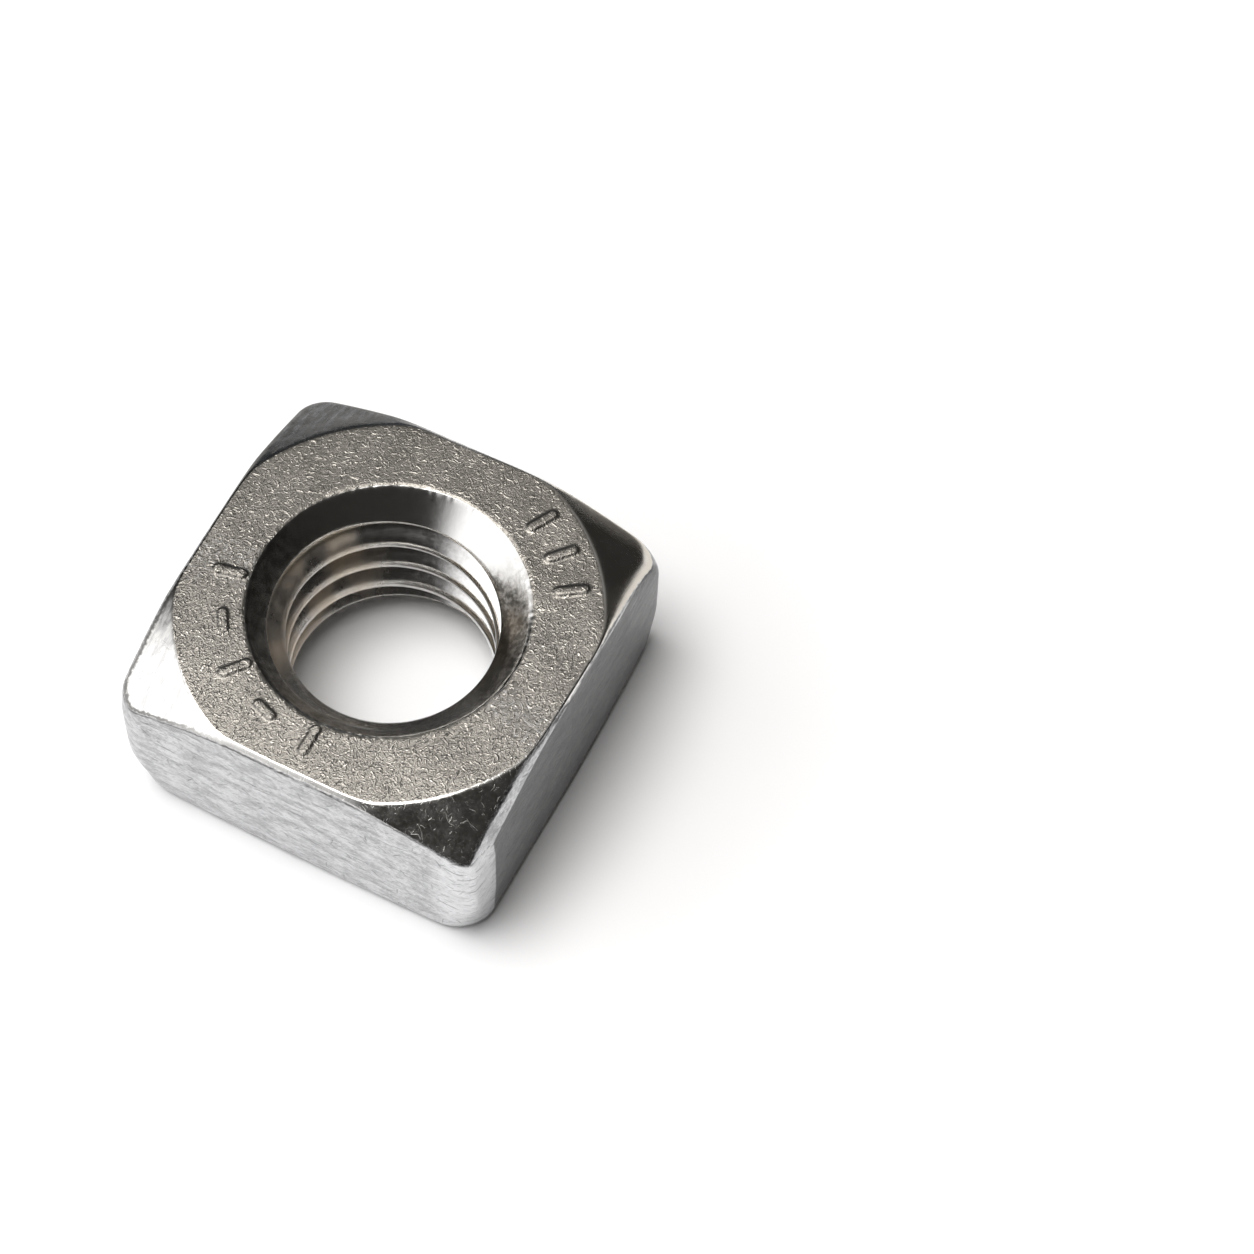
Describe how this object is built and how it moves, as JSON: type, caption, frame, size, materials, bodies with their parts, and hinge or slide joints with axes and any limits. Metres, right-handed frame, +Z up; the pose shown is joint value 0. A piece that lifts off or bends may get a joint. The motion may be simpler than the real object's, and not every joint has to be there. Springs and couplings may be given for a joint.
{
  "type": "square nut",
  "caption": "Cold-formed square nut with bevelled top corners, swelling wrench flats and a coarse right-hand thread countersunk at both faces.",
  "frame": {"origin": "centre of the bearing face, on the thread axis", "axes": "+Z up the thread axis towards the marked face; the wrench flats face -Y, +X, +Y and -X"},
  "size_m": [0.01, 0.01, 0.0051],
  "materials": {
    "stainless_steel": "matte tumbled top face, polished bevels, countersink and thread, finely brushed flats"
  },
  "bodies": {
    "root": {"square_nut": "stainless_steel"}
  },
  "joints": []
}
